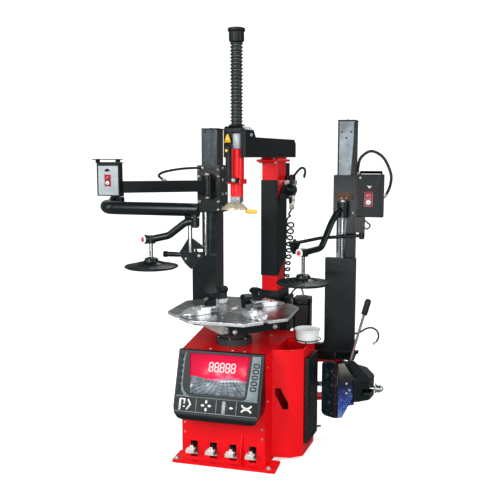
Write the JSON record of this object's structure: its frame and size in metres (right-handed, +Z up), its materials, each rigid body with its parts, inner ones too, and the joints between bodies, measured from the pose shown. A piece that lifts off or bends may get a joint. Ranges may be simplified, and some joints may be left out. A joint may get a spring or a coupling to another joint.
{
  "type": "tire changer machine",
  "caption": "Floor-standing tire changer with clamping turntable, tilting post, sliding arm with tool shaft, two helper arms and a side bead breaker.",
  "frame": {"origin": "on the floor, under the turntable's axis", "axes": "+Z up, +X to the right seen from the pedals, +Y from the pedals to the post"},
  "size_m": [1.463, 1.0212, 2.1],
  "materials": {
    "alu": "extruded aluminium",
    "black_plastic": "fine moulded texture",
    "black_steel": "semi-gloss black powder coat",
    "brass": "bronze-tinted cast steel",
    "button": "yellow plastic",
    "cast": "as cast, painted grey",
    "chrome": "polished chrome",
    "grey_steel": "worn blue-grey paint",
    "red": "glossy red powder coat",
    "rubber": "black rubber",
    "steel": "machined and brushed",
    "switch": "dark red plastic",
    "white_plastic": "white plastic"
  },
  "bodies": {
    "frame": {"cabinet_frame": "red", "console_panel": "black_plastic", "tool_box": "red", "rubber_pad": "rubber", "gear_motor": "cast", "valve_block": "alu", "breaker_cylinder": "alu", "column_stand": "black_steel", "air_tank": "black_steel", "helper_masts": "black_steel", "lift_cylinders": "black_steel", "pivot_pins": "steel", "cover_screws": "steel"},
    "turntable": {"turntable_hub": "cast", "turntable_plate": "steel"},
    "jaw_back_left": {"jaw_back_left": "steel", "clamp_cylinders": "alu"},
    "jaw_front_right": {"jaw_front_right": "steel", "clamp_rods": "chrome"},
    "jaw_back_right": {"jaw_back_right": "steel"},
    "jaw_front_left": {"jaw_front_left": "steel"},
    "post": {"post_foot": "black_steel", "post_tube": "red", "post_covers": "black_plastic", "inflator_gun": "steel"},
    "inflator_trigger": {"inflator_trigger": "black_plastic"},
    "tilt_cylinder": {"tilt_cylinder": "black_steel"},
    "tilt_rod": {"tilt_rod": "chrome"},
    "arm": {"arm_beam": "black_steel", "arm_cover": "black_plastic", "shaft_bellows": "rubber"},
    "tool_shaft": {"tool_shaft": "chrome", "shaft_cap": "black_plastic", "shaft_sleeve": "red", "head_clamp": "steel", "mount_head": "brass", "shaft_handle": "black_plastic"},
    "lock_button": {"lock_button": "button"},
    "left_carriage": {"left_carriage": "black_steel"},
    "left_link": {"left_link": "black_steel", "left_control_box": "grey_steel"},
    "left_switch": {"left_switch": "switch"},
    "left_forearm": {"left_forearm": "black_steel"},
    "left_disc_arm": {"left_disc_arm": "black_steel"},
    "left_disc": {"left_press_disc": "black_plastic"},
    "left_tool": {"left_tool_roller": "black_steel"},
    "right_carriage": {"right_carriage": "black_steel", "right_control_box": "black_plastic"},
    "right_switch": {"right_switch": "switch"},
    "right_disc_arm": {"right_disc_arm": "black_steel"},
    "right_disc": {"right_press_disc": "black_plastic"},
    "right_cone_arm": {"right_cone_arm": "black_steel"},
    "breaker_arm": {"breaker_arm": "black_steel"},
    "breaker_blade": {"breaker_blade": "grey_steel"},
    "breaker_rod": {"breaker_rod": "chrome"},
    "pedal_tilt": {"pedal_tilt": "black_steel"},
    "pedal_clamp": {"pedal_clamp": "black_steel"},
    "pedal_breaker": {"pedal_breaker": "black_steel"},
    "pedal_turn": {"pedal_turn": "black_steel"},
    "bucket": {"grease_bucket": "white_plastic"}
  },
  "joints": [
    {"name": "turntable_spin", "type": "hinge", "parent": "frame", "child": "turntable", "pos_m": [0, 0, 0.72], "axis": [0, 0, 1], "continuous": true},
    {"name": "jaw_travel", "type": "slide", "parent": "turntable", "child": "jaw_back_left", "axis": [-0.7071, 0.7071, 0], "range_m": [-0.03, 0.085]},
    {"name": "jaw_travel_front_right", "type": "slide", "parent": "turntable", "child": "jaw_front_right", "axis": [0.7071, -0.7071, 0], "range_m": [-0.03, 0.085]},
    {"name": "jaw_travel_back_right", "type": "slide", "parent": "turntable", "child": "jaw_back_right", "axis": [0.7071, 0.7071, 0], "range_m": [-0.03, 0.085]},
    {"name": "jaw_travel_front_left", "type": "slide", "parent": "turntable", "child": "jaw_front_left", "axis": [-0.7071, -0.7071, 0], "range_m": [-0.03, 0.085]},
    {"name": "column_tilt", "type": "hinge", "parent": "frame", "child": "post", "pos_m": [0.11965, 0.45447, 0.7], "axis": [-0.9903, 0.1392, 0], "range_deg": [0, 20]},
    {"name": "tilt_cylinder_swing", "type": "hinge", "parent": "frame", "child": "tilt_cylinder", "pos_m": [0.13357, 0.55349, 0.28], "axis": [-0.9903, 0.1392, 0], "range_deg": [-6, 1]},
    {"name": "tilt_rod_travel", "type": "slide", "parent": "tilt_cylinder", "child": "tilt_rod", "axis": [-0.0079, -0.0562, 0.9984], "range_m": [-0.024, 0.001]},
    {"name": "arm_reach", "type": "slide", "parent": "post", "child": "arm", "axis": [0.1392, 0.9903, 0], "range_m": [-0.1, 0.05]},
    {"name": "shaft_lift", "type": "slide", "parent": "arm", "child": "tool_shaft", "axis": [0, 0, -1], "range_m": [0, 0.335], "deforming": ["shaft_bellows"]},
    {"name": "lock_button_press", "type": "slide", "parent": "tool_shaft", "child": "lock_button", "axis": [0.1392, 0.9903, 0], "range_m": [0, 0.0035], "stiffness_N_per_m": 800},
    {"name": "left_helper_lift", "type": "slide", "parent": "frame", "child": "left_carriage", "axis": [0, 0, 1], "range_m": [-0.2, 0.17]},
    {"name": "left_link_swing", "type": "hinge", "parent": "left_carriage", "child": "left_link", "pos_m": [-0.225, 0.262, 1.348], "axis": [0, 0, 1], "range_deg": [-40, 6]},
    {"name": "left_switch_press", "type": "slide", "parent": "left_link", "child": "left_switch", "axis": [0, 1, 0], "range_m": [0, 0.003], "stiffness_N_per_m": 500},
    {"name": "left_forearm_swing", "type": "hinge", "parent": "left_link", "child": "left_forearm", "pos_m": [-0.63, 0, 1.261], "axis": [0, 0, 1], "range_deg": [-50, 8]},
    {"name": "left_disc_arm_swing", "type": "hinge", "parent": "left_forearm", "child": "left_disc_arm", "pos_m": [-0.104, -0.284, 1.205], "axis": [0, 0, 1], "range_deg": [-12, 40]},
    {"name": "left_disc_spin", "type": "hinge", "parent": "left_disc_arm", "child": "left_disc", "pos_m": [-0.318, -0.3, 1.05], "axis": [0, 0, 1], "continuous": true},
    {"name": "left_tool_swing", "type": "hinge", "parent": "left_forearm", "child": "left_tool", "pos_m": [-0.159, -0.225, 1.21], "axis": [0, 0, 1], "range_deg": [-30, 60]},
    {"name": "right_helper_lift", "type": "slide", "parent": "frame", "child": "right_carriage", "axis": [0, 0, 1], "range_m": [-0.1, 0.17]},
    {"name": "right_switch_press", "type": "slide", "parent": "right_carriage", "child": "right_switch", "axis": [0, 1, 0], "range_m": [0, 0.003], "stiffness_N_per_m": 500},
    {"name": "right_disc_arm_swing", "type": "hinge", "parent": "right_carriage", "child": "right_disc_arm", "pos_m": [0.507, 0.262, 1.23], "axis": [0, 0, 1], "range_deg": [-10, 45]},
    {"name": "right_disc_spin", "type": "hinge", "parent": "right_disc_arm", "child": "right_disc", "pos_m": [0.353, 0, 0.95], "axis": [0, 0, 1], "continuous": true},
    {"name": "right_cone_arm_swing", "type": "hinge", "parent": "right_carriage", "child": "right_cone_arm", "pos_m": [0.6, 0.325, 1.097], "axis": [0, 0, 1], "range_deg": [-3, 10]},
    {"name": "breaker_swing", "type": "hinge", "parent": "frame", "child": "breaker_arm", "pos_m": [0.47, 0.43, 0.295], "axis": [0, 0, 1], "range_deg": [-3, 14]},
    {"name": "breaker_rod_travel", "type": "slide", "parent": "frame", "child": "breaker_rod", "axis": [1, 0, 0], "range_m": [-0.014, 0.06]},
    {"name": "breaker_blade_pivot", "type": "hinge", "parent": "breaker_arm", "child": "breaker_blade", "pos_m": [0.586, 0.108, 0.28], "axis": [0, 0, 1], "range_deg": [-6, 6]},
    {"name": "pedal_tilt_press", "type": "hinge", "parent": "frame", "child": "pedal_tilt", "pos_m": [0, -0.06, 0.092], "axis": [1, 0, 0], "range_deg": [0, 8], "stiffness_Nm_per_rad": 12},
    {"name": "pedal_clamp_press", "type": "hinge", "parent": "frame", "child": "pedal_clamp", "pos_m": [0, -0.06, 0.092], "axis": [1, 0, 0], "range_deg": [0, 8], "stiffness_Nm_per_rad": 12},
    {"name": "pedal_breaker_press", "type": "hinge", "parent": "frame", "child": "pedal_breaker", "pos_m": [0, -0.06, 0.092], "axis": [1, 0, 0], "range_deg": [0, 8], "stiffness_Nm_per_rad": 12},
    {"name": "pedal_turn_press", "type": "hinge", "parent": "frame", "child": "pedal_turn", "pos_m": [0, -0.06, 0.092], "axis": [1, 0, 0], "range_deg": [0, 8], "stiffness_Nm_per_rad": 12},
    {"name": "inflator_trigger_press", "type": "slide", "parent": "post", "child": "inflator_trigger", "axis": [0.1392, 0.9903, 0], "range_m": [0, 0.004], "stiffness_N_per_m": 500},
    {"name": "bucket_lift_off", "type": "slide", "parent": "frame", "child": "bucket", "axis": [0, 0, 1], "range_m": [0, 0.06]}
  ],
  "couplings": [
    {"joint": "jaw_travel_front_right", "follows": "jaw_travel", "ratio": 1},
    {"joint": "jaw_travel_back_right", "follows": "jaw_travel", "ratio": 1},
    {"joint": "jaw_travel_front_left", "follows": "jaw_travel", "ratio": 1},
    {"joint": "tilt_cylinder_swing", "follows": "column_tilt", "ratio": -0.26},
    {"joint": "tilt_rod_travel", "follows": "column_tilt", "m_per_rad": -0.0575},
    {"joint": "breaker_rod_travel", "follows": "breaker_swing", "m_per_rad": 0.23}
  ]
}
